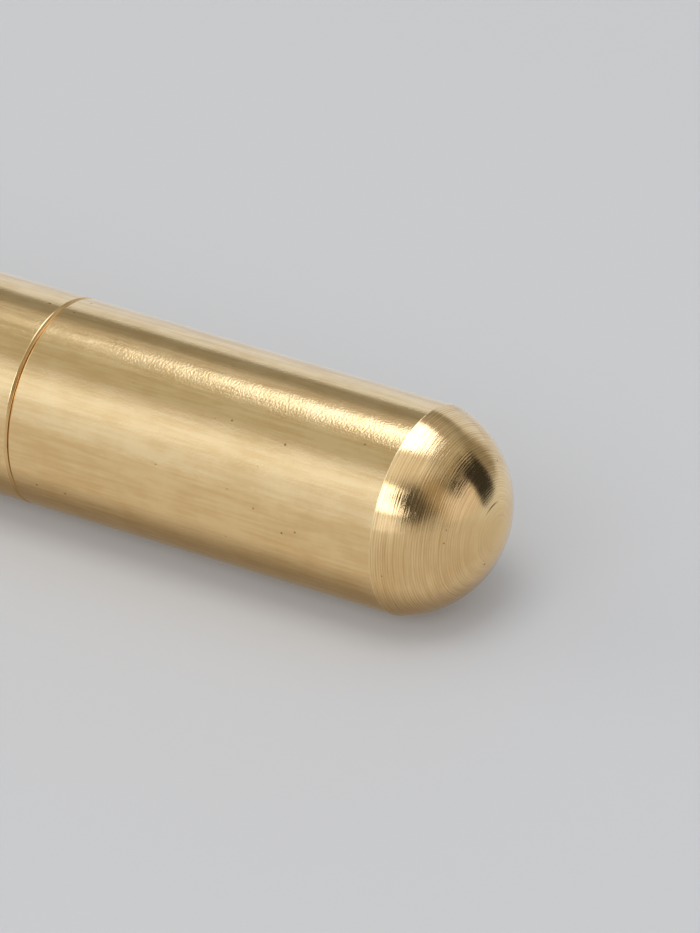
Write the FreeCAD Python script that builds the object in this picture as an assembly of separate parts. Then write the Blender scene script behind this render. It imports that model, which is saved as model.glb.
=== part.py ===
import FreeCAD, Part
import math
import os

# A round brass pocket pencil, closed by its domed cap.
#
# Frame: the origin is on the axis, at the mouth of the cap. +X runs along the axis to the cap's
# dome, and +Z is up with the pencil lying on its side. The writing end points to +X, inside the
# cap, and the push button is at the far end, at -X. All sizes are in millimetres.
#
# Every turned piece is drawn as half of its own section, as (x, r) points, and turned about X.

V = FreeCAD.Vector
AXIS = V(1, 0, 0)

# Outside of the cap and the barrel
body_diameter = 12.0       # drawn brass bar
cap_straight = 23.5        # from the cap's mouth to the edge of the dome
dome_edge_angle = 14.6     # degrees by which the dome breaks from the straight side at its edge
seam_chamfer = 0.15        # on both sides of each seam
parting_gap = 0.03         # between the cap's mouth and the barrel's end
edge_break = 0.10          # chamfer on the other turned edges

# Clearances
bond_gap = 0.02            # glued, pressed or screwed pieces, each side
running_gap = 0.05         # sliding pieces that guide each other, each side
cap_clearance = 0.10       # the pencil's front in the cap, each side
free_gap = 0.30            # moving pieces that must not rub, each side

# Inside of the cap
cap_wall = 1.15            # brass around the liner
liner_wall = 0.45
liner_length = 14.0
liner_recess = 0.30        # the liner starts this far inside the mouth
cap_end_wall = 2.80        # brass between the drill point and the pole
drill_point_angle = 118.0

# Pencil front
tip_room = 0.90            # from the lead sleeve's tip to the start of the drill point
sleeve_projection = 2.30
sleeve_wall = 0.12
sleeve_seat = 2.20         # length of sleeve held in the nose
lead_projection = 0.50
nose_length = 11.8
nose_band = 1.50           # straight band behind the nose's taper
nose_tip_land = 0.30       # flat ring around the sleeve
nose_thread_length = 3.50
nose_thread_wall = 0.48
taper_bulge = 0.25         # how far the nose's taper swells from a straight cone
oring_cord = 1.00
oring_setback = 1.60       # from the barrel's end to the middle of the ring
groove_slack = 0.20
grip_pitch = 0.60
grip_depth = 0.15
grip_start = 3.20          # from the barrel's end to the first grip ring

# Threads, drawn as rings
thread_pitch = 0.75
thread_depth = 0.20
spigot_length = 13.0       # the front section's screwed tail
spigot_wall = 1.42
lock_cord = 0.70           # rubber ring behind the section's shoulder

# Lead and clutch
lead_diameter = 0.70
lead_length = 60.0
collet_bore_gap = 0.05
collet_body_wall = 0.70
collet_length = 19.5
collet_tail = 4.60
collet_head_length = 3.60
collet_head_rise = 0.55    # the head's cone rises by this much
collet_head_land = 0.50
collet_projection = 0.85   # head in front of the clutch ring
slot_width = 0.30
slot_length = 10.5
jaw_count = 3
button_travel = 2.40
ring_travel = 0.60         # the ring, and the lead with it, until the nose stops the ring
stop_gap = 0.10
ring_length = 1.90
ring_wall = 0.60
housing_wall = 0.48
housing_length = 14.2
housing_collar = 1.40
housing_step = 0.30        # shoulder in the section that the housing's tail rests on
cavity_slack = 0.80
retainer_length = 2.00
retainer_wall = 1.05
wire_diameter = 0.35
active_turns = 7
closed_turns = 1

# Lead store
carrier_collar = 4.10
carrier_spigot = 4.50
carrier_bore = 1.20
tube_bore = 3.00
tube_wall = 0.50
spare_leads = 5
spare_slack = 1.50         # free length for the leads in the tube
holder_spigot = 4.00
holder_wall = 0.30
holder_floor = 1.00
holder_cup = 5.50
pin_diameter = 0.60
pin_length = 18.0
eraser_diameter = 4.60
eraser_length = 9.50

# Rear end
barrel_bore = 9.00
button_wall = 0.60
button_room = 0.90         # between the eraser and the inside of the button
button_crown = 1.20
button_lap = 4.50          # how far the button reaches over the eraser's cup
button_show = 7.40         # length of button that stands out of the barrel
bush_flange = 1.60
bush_spigot = 8.00
bush_round = 1.20


# Places along the axis, worked out from the sizes above

body_radius = body_diameter / 2
dome_radius = body_radius / math.cos(math.radians(dome_edge_angle))
dome_centre = cap_straight - body_radius * math.tan(math.radians(dome_edge_angle))
pole = dome_centre + dome_radius

liner_seat_radius = body_radius - cap_wall
cap_bore_radius = liner_seat_radius - liner_wall
drill_point = cap_bore_radius / math.tan(math.radians(drill_point_angle / 2))
cap_bore_end = pole - cap_end_wall - drill_point

barrel_front = -parting_gap
section_radius = cap_bore_radius - cap_clearance
sleeve_tip = cap_bore_end - tip_room
nose_tip = sleeve_tip - sleeve_projection
nose_base = nose_tip - nose_length
nose_stop = nose_base + nose_thread_length

lead_radius = lead_diameter / 2
collet_bore = lead_radius + collet_bore_gap
collet_body = collet_bore + collet_body_wall
collet_head = collet_body + collet_head_rise
ring_radius = collet_head + ring_wall
section_bore = ring_radius + free_gap
housing_radius = section_bore - bond_gap
housing_bore = housing_radius - housing_wall
rear_bore = section_bore - housing_step
spring_radius = housing_bore - free_gap - wire_diameter / 2
spigot_radius = rear_bore + spigot_wall
nose_thread_radius = section_bore + nose_thread_wall
cavity_radius = collet_head + free_gap

ring_front = nose_stop - stop_gap - ring_travel
ring_rear = ring_front - ring_length
housing_front = ring_rear - running_gap
housing_rear = housing_front - housing_length
collet_front = ring_front + collet_projection
collet_neck = collet_front - collet_head_length
collet_rear = collet_front - collet_length
carrier_front = collet_rear + collet_tail
cavity_end = collet_front + button_travel + cavity_slack
retainer_radius = lead_radius + retainer_wall
retainer_front = cavity_end + retainer_length
sleeve_rear = nose_tip - sleeve_seat
sleeve_radius = lead_radius + collet_bore_gap + sleeve_wall
lead_tip = sleeve_tip + lead_projection
lead_rear = lead_tip - lead_length

tube_radius = tube_bore / 2 + tube_wall
tube_front = carrier_front - carrier_collar
spares_front = tube_front - carrier_spigot - spare_slack / 2
holder_front = spares_front - lead_length - spare_slack / 2
tube_rear = holder_front - holder_spigot
cup_front = tube_rear
eraser_front = cup_front - holder_floor
cup_rear = eraser_front - holder_cup
eraser_rear = eraser_front - eraser_length
cup_bore = eraser_diameter / 2 + bond_gap
cup_radius = cup_bore + holder_wall

button_bore = cup_radius + running_gap
button_radius = button_bore + button_wall
button_inner_end = eraser_rear - button_room
button_rear = button_inner_end - button_crown
button_front = cup_rear + button_lap
barrel_rear = button_rear + button_show + bush_flange
bush_bore = button_radius + free_gap
bush_radius = barrel_bore / 2 - bond_gap


def turned(outline):
    """Turns a closed outline about the axis. A point (x, r) ends a straight line, and
    (x, r, mid_x, mid_r) ends an arc through the middle point."""
    edges = []
    for start, end in zip(outline, outline[1:] + outline[:1]):
        first = V(start[0], 0, start[1])
        last = V(end[0], 0, end[1])
        if len(end) == 4:
            edges.append(Part.Arc(first, V(end[2], 0, end[3]), last).toShape())
        else:
            edges.append(Part.makeLine(first, last))
    face = Part.Face(Part.Wire(edges))
    return face.revolve(V(0, 0, 0), AXIS, 360)


def rings(start, end, crest, pitch, depth):
    """Points along a ringed surface from start to end: V grooves one pitch apart, cut into the
    crest radius by depth. A negative depth cuts outwards, into the wall of a bore."""
    step = pitch if end > start else -pitch
    count = int(abs(end - start) / pitch + 1e-6)
    half_groove = 0.35 * step
    first = start + (end - start - count * step) / 2
    points = []
    for i in range(count):
        middle = first + (i + 0.5) * step
        points.append((middle - half_groove, crest))
        points.append((middle, crest - depth))
        points.append((middle + half_groove, crest))
    return points


def rubber_ring(middle, centre_radius, cord):
    return Part.makeTorus(centre_radius, cord / 2, V(middle, 0, 0), AXIS)


def dome_point(x, centre, radius):
    """Point of a ball's outline, at x along the axis."""
    return (x, math.sqrt(radius ** 2 - (x - centre) ** 2))


def cap_shell():
    """Drawn bar, faced to a ball end and drilled from the mouth, with a seat for the liner."""
    liner_end = liner_recess + liner_length
    on_dome = dome_point((cap_straight + pole) / 2, dome_centre, dome_radius)
    return turned([
        (0, body_radius - seam_chamfer),
        (seam_chamfer, body_radius),
        (cap_straight, body_radius),
        (pole, 0, on_dome[0], on_dome[1]),
        (cap_bore_end + drill_point, 0),
        (cap_bore_end, cap_bore_radius),
        (liner_end + bond_gap, cap_bore_radius),
        (liner_end + bond_gap, liner_seat_radius),
        (edge_break, liner_seat_radius),
        (0, liner_seat_radius + edge_break),
    ])


def cap_liner():
    """Plastic sleeve glued in the cap's mouth, which rides on the rubber ring."""
    outside = liner_seat_radius - bond_gap
    lead_in = liner_wall / 2
    return turned([
        (liner_recess, outside),
        (liner_recess + liner_length, outside),
        (liner_recess + liner_length, cap_bore_radius),
        (liner_recess + lead_in, cap_bore_radius),
        (liner_recess, cap_bore_radius + lead_in),
    ])


def barrel_tube():
    """The same bar, bored from the rear and threaded at both ends."""
    neck = spigot_radius + bond_gap
    neck_end = barrel_front - spigot_length - 2 * thread_pitch
    bore = barrel_bore / 2
    thread_end = barrel_rear + bush_spigot
    return turned([
        (barrel_rear, body_radius - seam_chamfer),
        (barrel_rear + seam_chamfer, body_radius),
        (barrel_front - seam_chamfer, body_radius),
        (barrel_front, body_radius - seam_chamfer),
        (barrel_front, neck),
        *rings(barrel_front - 2 * thread_pitch, barrel_front - spigot_length, neck,
               thread_pitch, -thread_depth),
        (neck_end, neck),
        (neck_end - (bore - neck), bore),
        *rings(thread_end, barrel_rear + thread_pitch, bore, thread_pitch, -thread_depth),
        (barrel_rear, bore),
    ])


def front_section():
    """Turned brass piece that screws into the barrel, carries the clutch and guides the cap."""
    tail = barrel_front - spigot_length
    relief = spigot_radius - lock_cord
    relief_end = barrel_front - 2 * lock_cord
    groove_middle = barrel_front + oring_setback
    groove_half = (oring_cord + groove_slack) / 2
    groove_floor = cap_bore_radius - running_gap - oring_cord - bond_gap
    front = nose_stop - bond_gap
    nose_joint = nose_base - bond_gap
    return turned([
        (tail, spigot_radius - thread_depth),
        (tail + thread_depth, spigot_radius),
        *rings(tail + thread_pitch, relief_end, spigot_radius, thread_pitch, thread_depth),
        (relief_end, spigot_radius),
        (relief_end, relief),
        (barrel_front, relief),
        (barrel_front, section_radius),
        (groove_middle - groove_half, section_radius),
        (groove_middle - groove_half, groove_floor),
        (groove_middle + groove_half, groove_floor),
        (groove_middle + groove_half, section_radius),
        *rings(barrel_front + grip_start, nose_joint - grip_pitch, section_radius, grip_pitch,
               grip_depth),
        (nose_joint - edge_break, section_radius),
        (nose_joint, section_radius - edge_break),
        (nose_joint, nose_thread_radius),
        *rings(nose_joint + thread_pitch / 2, front - thread_depth, nose_thread_radius,
               thread_pitch, thread_depth),
        (front, nose_thread_radius),
        (front, section_bore),
        (housing_rear - bond_gap, section_bore),
        (housing_rear - bond_gap, rear_bore),
        (tail, rear_bore),
    ])


def nose_cone():
    """Turned brass tip, screwed over the section's front. Its inner shoulder stops the ring."""
    thread = nose_thread_radius + bond_gap
    tip_radius = sleeve_radius + nose_tip_land
    taper_start = nose_base + nose_band
    middle_x = (taper_start + nose_tip) / 2
    middle_r = (section_radius + tip_radius) / 2 + taper_bulge
    retainer_seat = retainer_radius + bond_gap
    return turned([
        (nose_base, section_radius - edge_break),
        (nose_base + edge_break, section_radius),
        (taper_start, section_radius),
        (nose_tip, tip_radius, middle_x, middle_r),
        (nose_tip, sleeve_radius + bond_gap),
        (retainer_front + bond_gap, sleeve_radius + bond_gap),
        (retainer_front + bond_gap, retainer_seat),
        (cavity_end, retainer_seat),
        (cavity_end, cavity_radius),
        (nose_stop, cavity_radius),
        (nose_stop, thread),
        *rings(nose_stop - thread_pitch / 2, nose_base + thread_pitch / 2, thread,
               thread_pitch, -thread_depth),
        (nose_base, thread),
    ])


def sleeve(rear, front, bore, radius, rounding=0.0):
    """Plain tube, with its outer edges chamfered by rounding."""
    if rounding == 0:
        return turned([(rear, bore), (rear, radius), (front, radius), (front, bore)])
    return turned([
        (rear, bore),
        (rear, radius - rounding),
        (rear + rounding, radius),
        (front - rounding, radius),
        (front, radius - rounding),
        (front, bore),
    ])


def lead_rod(rear, front):
    return Part.makeCylinder(lead_radius, front - rear, V(rear, 0, 0), AXIS)


def clutch_housing():
    """Tube in the section. The spring bears on its collar, and the ring rests in front."""
    collar_bore = collet_body + collet_head_rise
    return turned([
        (housing_rear, housing_bore),
        (housing_rear, housing_radius),
        (housing_front, housing_radius),
        (housing_front, collar_bore),
        (housing_front - housing_collar, collar_bore),
        (housing_front - housing_collar, housing_bore),
    ])


def head_radius(x):
    """Radius of the collet's head, which rises in a cone from its neck to its land."""
    cone_length = collet_head_length - collet_head_land
    return collet_body + collet_head_rise * (x - collet_neck) / cone_length


def clutch_ring():
    """Loose brass ring, coned inside, that squeezes the jaws shut while the spring pulls."""
    rear_bore_radius = head_radius(ring_rear) + running_gap
    front_bore_radius = head_radius(ring_front) + running_gap
    return turned([
        (ring_rear, rear_bore_radius),
        (ring_rear, ring_radius),
        (ring_front, ring_radius),
        (ring_front, front_bore_radius),
    ])


def clutch_jaws():
    """Brass collet, slotted from the front into jaws around the lead."""
    tail_radius = collet_body - thread_depth / 2
    body = turned([
        (collet_rear, collet_bore),
        (collet_rear, tail_radius),
        (carrier_front, tail_radius),
        (carrier_front, collet_body),
        (collet_neck, collet_body),
        (collet_front - collet_head_land, collet_head),
        (collet_front, collet_head),
        (collet_front, collet_bore),
    ])
    slots = []
    for i in range(jaw_count):
        slot = Part.makeBox(slot_length, slot_width, collet_head + slot_width,
                            V(collet_front - slot_length, -slot_width / 2, 0))
        slot.rotate(V(0, 0, 0), AXIS, 360 * i / jaw_count)
        slots.append(slot)
    return body.cut(Part.Compound(slots))


def collet_carrier():
    """Brass piece that joins the collet to the lead tube, with a funnel that feeds leads."""
    socket = collet_body - thread_depth / 2 + bond_gap
    spigot = tube_bore / 2 - bond_gap
    tail = tube_front - carrier_spigot
    bore = carrier_bore / 2
    mouth = spigot - tube_wall / 2
    return turned([
        (tail, mouth),
        (tail, spigot),
        (tube_front, spigot),
        (tube_front, tube_radius),
        (carrier_front, tube_radius),
        (carrier_front, socket),
        (collet_rear - bond_gap, socket),
        (collet_rear - bond_gap, bore),
        (tail + (mouth - bore), bore),
    ])


def arc_from(start, tangent, end):
    """Arc from start to end that leaves start along tangent."""
    chord = end - start
    length = chord.Length
    along = V(chord).normalize()
    angle = tangent.getAngle(chord)
    side = tangent - along * tangent.dot(along)
    side.normalize()
    middle = start + chord / 2 + side * (length / 2 * math.tan(angle / 2))
    return Part.Arc(start, middle, end)


def biarc(start, start_tangent, end, end_tangent):
    """Two arcs that join smoothly and meet both tangents."""
    chord = end - start
    tangents = start_tangent + end_tangent
    a = 2 * (1 - start_tangent.dot(end_tangent))
    b = 2 * chord.dot(tangents)
    reach = (math.sqrt(b ** 2 + 4 * a * chord.dot(chord)) - b) / (2 * a)
    joint = (start + end + (start_tangent - end_tangent) * reach) / 2
    first = arc_from(start, start_tangent, joint)
    joint_tangent = (joint - start - start_tangent * reach).normalize()
    second = arc_from(joint, joint_tangent, end)
    return [first.toShape(), second.toShape()]


def return_spring():
    """Steel compression spring around the collet, with closed ends, as one unbroken wire."""
    rear = carrier_front + wire_diameter / 2 + bond_gap
    front = housing_front - housing_collar - wire_diameter / 2 - bond_gap
    closed_pitch = wire_diameter + running_gap
    active_pitch = (front - rear - 2 * closed_turns * closed_pitch) / active_turns
    turns = active_turns + 2 * closed_turns

    def place(turn):
        from_rear = min(turn, closed_turns) + max(0, turn - turns + closed_turns)
        active = turn - from_rear
        return V(rear + from_rear * closed_pitch + active * active_pitch,
                 spring_radius * math.cos(2 * math.pi * turn),
                 spring_radius * math.sin(2 * math.pi * turn))

    def heading(turn):
        nudge = 0.001
        before = place(max(0, turn - nudge))
        after = place(min(turns, turn + nudge))
        return (after - before).normalize()

    quarters = [i / 4 for i in range(4 * turns + 1)]
    edges = []
    for here, there in zip(quarters, quarters[1:]):
        edges += biarc(place(here), heading(here), place(there), heading(there))
    wire = Part.Wire(edges)
    circle = Part.makeCircle(wire_diameter / 2, place(0), heading(0))
    return wire.makePipeShell([Part.Wire(circle)], True, False)


def spare_lead_set():
    """Spare leads, lying side by side in the bottom of the tube."""
    lay_radius = tube_bore / 2 - lead_radius - bond_gap
    spacing = 2 * math.asin((lead_radius + bond_gap) / lay_radius)
    leads = []
    for i in range(spare_leads):
        angle = (i - (spare_leads - 1) / 2) * spacing
        lead = lead_rod(spares_front - lead_length, spares_front)
        lead.translate(V(0, lay_radius * math.sin(angle), -lay_radius * math.cos(angle)))
        leads.append(lead)
    return Part.Compound(leads)


def eraser_holder():
    """Brass cup that plugs the lead tube, holds the eraser and carries the clearing pin."""
    spigot = tube_bore / 2 - bond_gap
    pin_hole = pin_diameter / 2 + bond_gap
    return turned([
        (eraser_front, pin_hole),
        (eraser_front, cup_bore),
        (cup_rear, cup_bore),
        (cup_rear, cup_radius),
        (cup_front, cup_radius),
        (cup_front, spigot),
        (holder_front, spigot),
        (holder_front, pin_hole),
    ])


def clearing_pin():
    """Steel needle on the eraser's cup, which pushes a broken lead out of the sleeve."""
    radius = pin_diameter / 2
    return turned([
        (eraser_front + bond_gap, 0),
        (eraser_front + bond_gap, radius),
        (eraser_front + pin_length - pin_diameter, radius),
        (eraser_front + pin_length, 0),
    ])


def eraser():
    """Rubber rod, rounded at the end that rubs."""
    radius = eraser_diameter / 2
    corner = radius / 4
    knee = corner * (1 - math.cos(math.pi / 4))
    return turned([
        (eraser_front - bond_gap, 0),
        (eraser_rear, 0),
        (eraser_rear, radius - corner),
        (eraser_rear + corner, radius, eraser_rear + knee, radius - knee),
        (eraser_front - bond_gap, radius),
    ])


def push_button():
    """Domed brass thimble over the eraser, which pushes the lead tube and pulls off."""
    radius = button_radius
    ball = radius / math.cos(math.radians(dome_edge_angle))
    ball_setback = radius * math.tan(math.radians(dome_edge_angle))
    centre = button_rear + ball
    edge = centre - ball_setback
    on_ball = dome_point((button_rear + edge) / 2, centre, ball)
    inner_corner = button_bore / 3
    return turned([
        (button_front, button_bore),
        (button_front, radius - edge_break),
        (button_front - edge_break, radius),
        (edge, radius),
        (button_rear, 0, on_ball[0], on_ball[1]),
        (button_inner_end, 0),
        (button_inner_end, button_bore - inner_corner),
        (button_inner_end + inner_corner, button_bore),
    ])


def rear_bush():
    """Turned brass bush, screwed into the barrel's rear, that guides the button."""
    flange_rear = barrel_rear - bush_flange
    joint = barrel_rear - bond_gap
    spigot_end = barrel_rear + bush_spigot
    knee = bush_round * (1 - math.cos(math.pi / 4))
    return turned([
        (flange_rear, bush_bore + edge_break),
        (flange_rear, body_radius - bush_round),
        (flange_rear + bush_round, body_radius, flange_rear + knee, body_radius - knee),
        (joint - seam_chamfer, body_radius),
        (joint, body_radius - seam_chamfer),
        (joint, bush_radius - thread_depth),
        (joint + thread_pitch / 2, bush_radius),
        *rings(joint + thread_pitch, spigot_end - thread_depth, bush_radius, thread_pitch,
               thread_depth),
        (spigot_end - thread_depth, bush_radius),
        (spigot_end, bush_radius - thread_depth),
        (spigot_end, bush_bore),
        (flange_rear + edge_break, bush_bore),
    ])


oring_radius = cap_bore_radius - running_gap - oring_cord / 2
lock_radius = spigot_radius - lock_cord / 2
lock_middle = barrel_front - lock_cord

pieces = {
    "cap_shell": cap_shell(),
    "cap_liner": cap_liner(),
    "barrel_tube": barrel_tube(),
    "front_section": front_section(),
    "section_lock_ring": rubber_ring(lock_middle, lock_radius, lock_cord - bond_gap),
    "cap_oring": rubber_ring(barrel_front + oring_setback, oring_radius, oring_cord),
    "nose_cone": nose_cone(),
    "lead_sleeve": sleeve(sleeve_rear, sleeve_tip, sleeve_radius - sleeve_wall, sleeve_radius),
    "lead_retainer": sleeve(cavity_end + bond_gap, retainer_front, lead_radius + bond_gap,
                            retainer_radius, retainer_wall / 5),
    "clutch_housing": clutch_housing(),
    "clutch_ring": clutch_ring(),
    "clutch_jaws": clutch_jaws(),
    "collet_carrier": collet_carrier(),
    "return_spring": return_spring(),
    "lead_tube": sleeve(tube_rear + bond_gap, tube_front - bond_gap, tube_bore / 2, tube_radius),
    "writing_lead": lead_rod(lead_rear, lead_tip),
    "spare_leads": spare_lead_set(),
    "eraser_holder": eraser_holder(),
    "clearing_pin": clearing_pin(),
    "eraser": eraser(),
    "push_button": push_button(),
    "rear_bush": rear_bush(),
}

os.makedirs("parts", exist_ok=True)
for name, shape in pieces.items():
    shape.exportStep("parts/" + name + ".step")
    print(name, "valid" if shape.isValid() else "NOT VALID", round(shape.Volume, 3))
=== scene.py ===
import math

import bpy
from mathutils import Matrix, Vector


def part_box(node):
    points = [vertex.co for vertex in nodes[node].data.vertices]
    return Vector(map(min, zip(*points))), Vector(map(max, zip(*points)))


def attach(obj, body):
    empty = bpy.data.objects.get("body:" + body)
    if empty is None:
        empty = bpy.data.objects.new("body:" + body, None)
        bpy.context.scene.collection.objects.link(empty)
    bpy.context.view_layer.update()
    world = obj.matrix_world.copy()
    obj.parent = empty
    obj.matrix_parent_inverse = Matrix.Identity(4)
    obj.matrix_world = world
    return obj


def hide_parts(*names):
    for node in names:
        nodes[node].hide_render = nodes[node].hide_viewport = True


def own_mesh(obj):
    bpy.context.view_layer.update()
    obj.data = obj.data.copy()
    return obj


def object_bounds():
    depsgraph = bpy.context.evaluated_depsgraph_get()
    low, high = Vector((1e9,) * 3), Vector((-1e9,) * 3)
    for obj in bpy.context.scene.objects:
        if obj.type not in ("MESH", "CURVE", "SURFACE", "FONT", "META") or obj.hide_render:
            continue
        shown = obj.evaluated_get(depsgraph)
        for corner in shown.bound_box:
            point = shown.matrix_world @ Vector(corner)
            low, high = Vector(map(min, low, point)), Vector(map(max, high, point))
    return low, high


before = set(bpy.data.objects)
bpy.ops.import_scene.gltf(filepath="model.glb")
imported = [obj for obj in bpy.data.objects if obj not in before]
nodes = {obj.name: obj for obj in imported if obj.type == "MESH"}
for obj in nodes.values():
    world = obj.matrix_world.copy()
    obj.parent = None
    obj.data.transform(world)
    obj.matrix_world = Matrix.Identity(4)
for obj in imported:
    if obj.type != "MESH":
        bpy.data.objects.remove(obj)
cad_low, cad_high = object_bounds()

# Sizes are in millimetres, and meshes are made in metres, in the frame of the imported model: the
# origin at the cap's mouth, +X towards the dome, and the pencil lying on z = -6 mm.
MM = 0.001


# ---- Cap shell -------------------------------------------------------------------------------
# A length of 12 mm brass bar. Its side is the bar's own drawn skin, only wiped clean. The ball
# end is faced on a lathe and left as turned, and the cap is drilled from its mouth.

body_radius = 6.0
cap_edge = 23.5            # where the ball end starts
dome_radius = 6.2
dome_centre = 21.937
pole = 28.137
seam_chamfer = 0.15
cap_bore = 4.4
cap_bore_end = 22.694
drill_point = 25.337
liner_seat = 4.85
liner_end = 14.32
edge_ease = 0.03           # a deburred edge, half as wide as a hair is thick
edge_break = 0.1
skin_tolerance = 0.01      # a ring this close to the bar's radius is its drawn skin


def linear(colour):
    """Linear RGBA from an sRGB hex colour."""
    shares = [int(colour[i:i + 2], 16) / 255 for i in (0, 2, 4)]
    return [s / 12.92 if s <= 0.04045 else ((s + 0.055) / 1.055) ** 2.4 for s in shares] + [1]


def add(tree, kind, into=None, **settings):
    """Adds a node. Settings are its own properties, and into gives its inputs a value or the
    output that feeds them."""
    node = tree.nodes.new("ShaderNode" + kind)
    for name, value in settings.items():
        setattr(node, name, value)
    for name, value in (into or {}).items():
        if isinstance(value, bpy.types.NodeSocket):
            tree.links.new(value, node.inputs[name])
        else:
            node.inputs[name].default_value = value
    return node


def material(name):
    """An empty material, with its node tree and the point on the surface in metres."""
    made = bpy.data.materials.new(name)
    made.use_nodes = True
    made.node_tree.nodes.clear()
    spot = add(made.node_tree, "TexCoord").outputs["Object"]
    return made, made.node_tree, spot


def arc_run(start, middle, end, step):
    """Points and outward directions from start to end, along the arc through middle."""
    a, b = middle - start, end - start
    across = 2 * (a.x * b.y - a.y * b.x)
    centre = start + Vector(((b.y * a.length_squared - a.y * b.length_squared) / across,
                             (a.x * b.length_squared - b.x * a.length_squared) / across))
    arm = start - centre
    sweep = -arm.angle_signed(end - centre)
    if sweep * across < 0:
        sweep += math.copysign(2 * math.pi, across)
    count = max(2, math.ceil(abs(sweep) * arm.length / step))
    run = []
    for i in range(count + 1):
        turned_arm = Matrix.Rotation(sweep * i / count, 2) @ arm
        side = turned_arm.normalized() * math.copysign(1, -sweep)
        run.append((centre + turned_arm, side))
    return run


def grooves(start, end, crest, pitch, depth):
    """Outline points of V grooves a pitch apart, from start to end, cut into the crest radius
    by depth. A negative depth cuts outwards, into the wall of a bore."""
    along = pitch if end > start else -pitch
    count = int(abs(end - start) / pitch + 1e-6)
    first = start + (end - start - count * along) / 2
    points = []
    for i in range(count):
        middle = first + (i + 0.5) * along
        points += [(middle - 0.35 * along, crest), (middle, crest - depth),
                   (middle + 0.35 * along, crest)]
    return points


def turned(name, outline, finish=lambda x, r: 0, sides=240, step=0.12, plain_below=0):
    """Mesh turned about X from the closed outline of its half section. A point (x, r) ends a
    straight run, and (x, r, mid_x, mid_r) ends an arc through its middle point. Corners are
    rounded over, or only broken where their radius is under plain_below. Normals follow the
    outline, and finish(x, r) gives the material of each ring."""
    ends = [Vector(point[:2]) for point in outline]
    area = sum(a.x * b.y - a.y * b.x for a, b in zip(ends, ends[1:] + ends[:1]))
    if area > 0:
        raise ValueError(name + ": the outline runs the wrong way")
    runs = []
    for i, point in enumerate(outline):
        start, end = ends[i - 1], ends[i]
        if len(point) == 4:
            runs.append(arc_run(start, Vector(point[2:]), end, step))
        else:
            along = (end - start).normalized()
            side = Vector((-along.y, along.x))
            runs.append([(start, side), (end, side)])
    path = []
    for i, run in enumerate(runs):
        following = runs[(i + 1) % len(runs)]
        corner, side = run[-1]
        next_side = following[0][1]
        if corner.y < 1e-6 or side.angle(next_side) < math.radians(5):
            continue
        back, ahead = run[-2][0] - corner, following[1][0] - corner
        ease = min(edge_ease, back.length * 0.35, ahead.length * 0.35)
        leave, meet = corner + back.normalized() * ease, corner + ahead.normalized() * ease
        run[-1], following[0] = (leave, side), (meet, next_side)
        for t in (0.25, 0.5, 0.75) if corner.y > plain_below else ():
            at = leave * (1 - t) ** 2 + corner * 2 * t * (1 - t) + meet * t ** 2
            run.append((at, side.lerp(next_side, t).normalized()))
    for run in runs:
        path += run
    path = [p for p, q in zip(path, path[-1:] + path[:-1]) if (p[0] - q[0]).length > 1e-5]

    points, normals, rings = [], [], []
    for at, side in path:
        count = sides if at.y > 1e-5 else 1
        rings.append(range(len(points), len(points) + count))
        for i in range(count):
            angle = 2 * math.pi * i / sides
            out = Vector((0, math.sin(angle), math.cos(angle)))
            points.append((Vector((at.x, 0, 0)) + out * at.y) * MM)
            normals.append(Vector((side.x, 0, 0)) + out * side.y if count > 1
                           else Vector((math.copysign(1, side.x), 0, 0)))
    faces, finishes = [], []
    for i, ring in enumerate(rings):
        after = rings[(i + 1) % len(rings)]
        middle = (path[i][0] + path[(i + 1) % len(path)][0]) / 2
        if len(ring) == 1 and len(after) == 1:
            continue
        for j in range(sides):
            k = (j + 1) % sides
            corners = [ring[j % len(ring)], after[j % len(after)],
                       after[k % len(after)], ring[k % len(ring)]]
            faces.append(list(dict.fromkeys(corners)))
            finishes.append(finish(middle.x, middle.y))
    mesh = bpy.data.meshes.new(name)
    mesh.from_pydata(points, [], faces)
    mesh.polygons.foreach_set("material_index", finishes)
    mesh.shade_smooth()
    mesh.normals_split_custom_set_from_vertices(normals)
    return mesh


def place(name, mesh, finishes, body, slot, *stands_for):
    """A piece with its materials, riding on its body in place of the nodes it stands for."""
    thing = bpy.data.objects.new(name, mesh)
    bpy.context.scene.collection.objects.link(thing)
    for finish in finishes:
        mesh.materials.append(finish)
    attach(thing, body)
    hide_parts(*stands_for)
    return thing


def dress(node, finish):
    """Gives a CAD node its finish."""
    nodes[node].data.materials.clear()
    nodes[node].data.materials.append(finish)


# Drawn brass bar: leaded brass, pulled cold through a die. A warm pale gold skin, satin, with an
# orange-peel grain a tenth of a millimetre across, fine lines along the bar and a few dark specks.
brass_colour = linear("F8D69D")
tarnish_colour = linear("E8C184")
groove_colour = linear("C0935A")
speck_colour = linear("7A5426")
drawn_roughness = 0.125
peel_size = 0.12
peel_depth = 0.0052        # over the noise's full swing, of which it uses a third or so
swell_size = 1.6
swell_depth = 0.005
tarnish_size = 2.4
streak_width = 0.25        # where the tarnish was wiped along the bar
streak_length = 3.5
line_width = 0.05
line_length = 9.0
line_depth = 0.0008
speck_spacing = 0.9
speck_size = 0.19


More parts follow.
